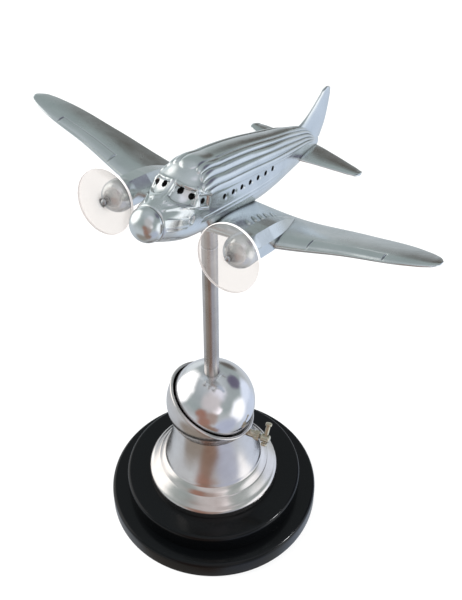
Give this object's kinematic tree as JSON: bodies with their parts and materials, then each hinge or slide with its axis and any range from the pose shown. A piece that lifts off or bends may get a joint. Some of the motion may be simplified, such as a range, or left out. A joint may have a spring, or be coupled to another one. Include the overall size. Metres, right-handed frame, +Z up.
{
  "type": "twin-propeller aircraft desk model",
  "caption": "Polished metal twin-engine airliner model on a post, carried by a ball-and-cup swivel with a side clamp screw above a stepped black base.",
  "frame": {"origin": "centre of the base's underside", "axes": "+Z up along the post; the nose points towards -Y and the port wing towards +X"},
  "size_m": [0.278, 0.2106, 0.3162],
  "materials": {
    "cast_aluminium": "satin polished casting",
    "polished_metal": "mirror polished",
    "post_metal": "bright drawn tube",
    "black_base": "glossy black",
    "felt": "dark felt",
    "nickel_brass": "worn nickel plate",
    "steel": "plain zinc steel",
    "fibre": "pressed fibre",
    "clear_acrylic": "clear polished acrylic"
  },
  "bodies": {
    "stand": {"felt_pad": "felt", "base_lower": "black_base", "base_upper": "black_base", "pedestal_bell": "polished_metal", "spacer_tube": "steel", "socket_cup": "polished_metal", "friction_ring": "fibre", "tie_rod": "steel", "tie_washer": "steel", "tie_nut": "steel", "keeper_spring": "steel", "keeper_nut": "steel", "clamp_bush": "nickel_brass"},
    "saddle": {"keeper_saddle": "steel"},
    "ball_and_post": {"ball": "polished_metal", "post": "post_metal"},
    "aircraft": {"pivot_washer": "post_metal", "post_sleeve": "post_metal", "mount_stud": "steel", "wing": "cast_aluminium", "fuselage": "cast_aluminium", "nose_cap": "cast_aluminium", "fin": "cast_aluminium", "tailplane": "cast_aluminium", "tail_screw": "steel", "wing_screws": "steel", "hub_washers": "steel", "hub_pins": "steel"},
    "port_disc": {"propeller_disc_port": "clear_acrylic"},
    "starboard_disc": {"propeller_disc_starboard": "clear_acrylic"},
    "clamp_tip": {"clamp_pad": "nickel_brass"},
    "clamp_head": {"clamp_screw": "nickel_brass"},
    "clamp_bar": {"tommy_bar": "nickel_brass", "bar_end_caps": "nickel_brass"}
  },
  "joints": [
    {"name": "ball_swivel", "type": "hinge", "parent": "stand", "child": "saddle", "pos_m": [0, 0, 0.1036], "axis": [0, 0, 1], "continuous": true},
    {"name": "ball_tilt", "type": "hinge", "parent": "saddle", "child": "ball_and_post", "pos_m": [0, 0, 0.1036], "axis": [0, 1, 0], "range_deg": [-30, 30]},
    {"name": "aircraft_turn", "type": "hinge", "parent": "ball_and_post", "child": "aircraft", "pos_m": [0, 0, 0.244], "axis": [0, 0, 1], "continuous": true},
    {"name": "port_disc_spin", "type": "hinge", "parent": "aircraft", "child": "port_disc", "pos_m": [0.042, -0.04075, 0.28494], "axis": [0, -0.9659, 0.2588], "continuous": true},
    {"name": "starboard_disc_spin", "type": "hinge", "parent": "aircraft", "child": "starboard_disc", "pos_m": [-0.042, -0.04075, 0.28494], "axis": [0, -0.9659, 0.2588], "continuous": true},
    {"name": "clamp_advance", "type": "slide", "parent": "stand", "child": "clamp_tip", "axis": [0.989, 0.1478, 0], "range_m": [0, 0.001]},
    {"name": "clamp_turn", "type": "hinge", "parent": "clamp_tip", "child": "clamp_head", "pos_m": [0, 0, 0.084], "axis": [0.989, 0.1478, 0], "range_deg": [0, 720.5]},
    {"name": "clamp_bar_slide", "type": "slide", "parent": "clamp_head", "child": "clamp_bar", "axis": [-0.0761, 0.5094, 0.8572], "range_m": [-0.0065, 0.0005]}
  ],
  "couplings": [
    {"joint": "clamp_turn", "follows": "clamp_advance", "rad_per_m": 12566}
  ]
}
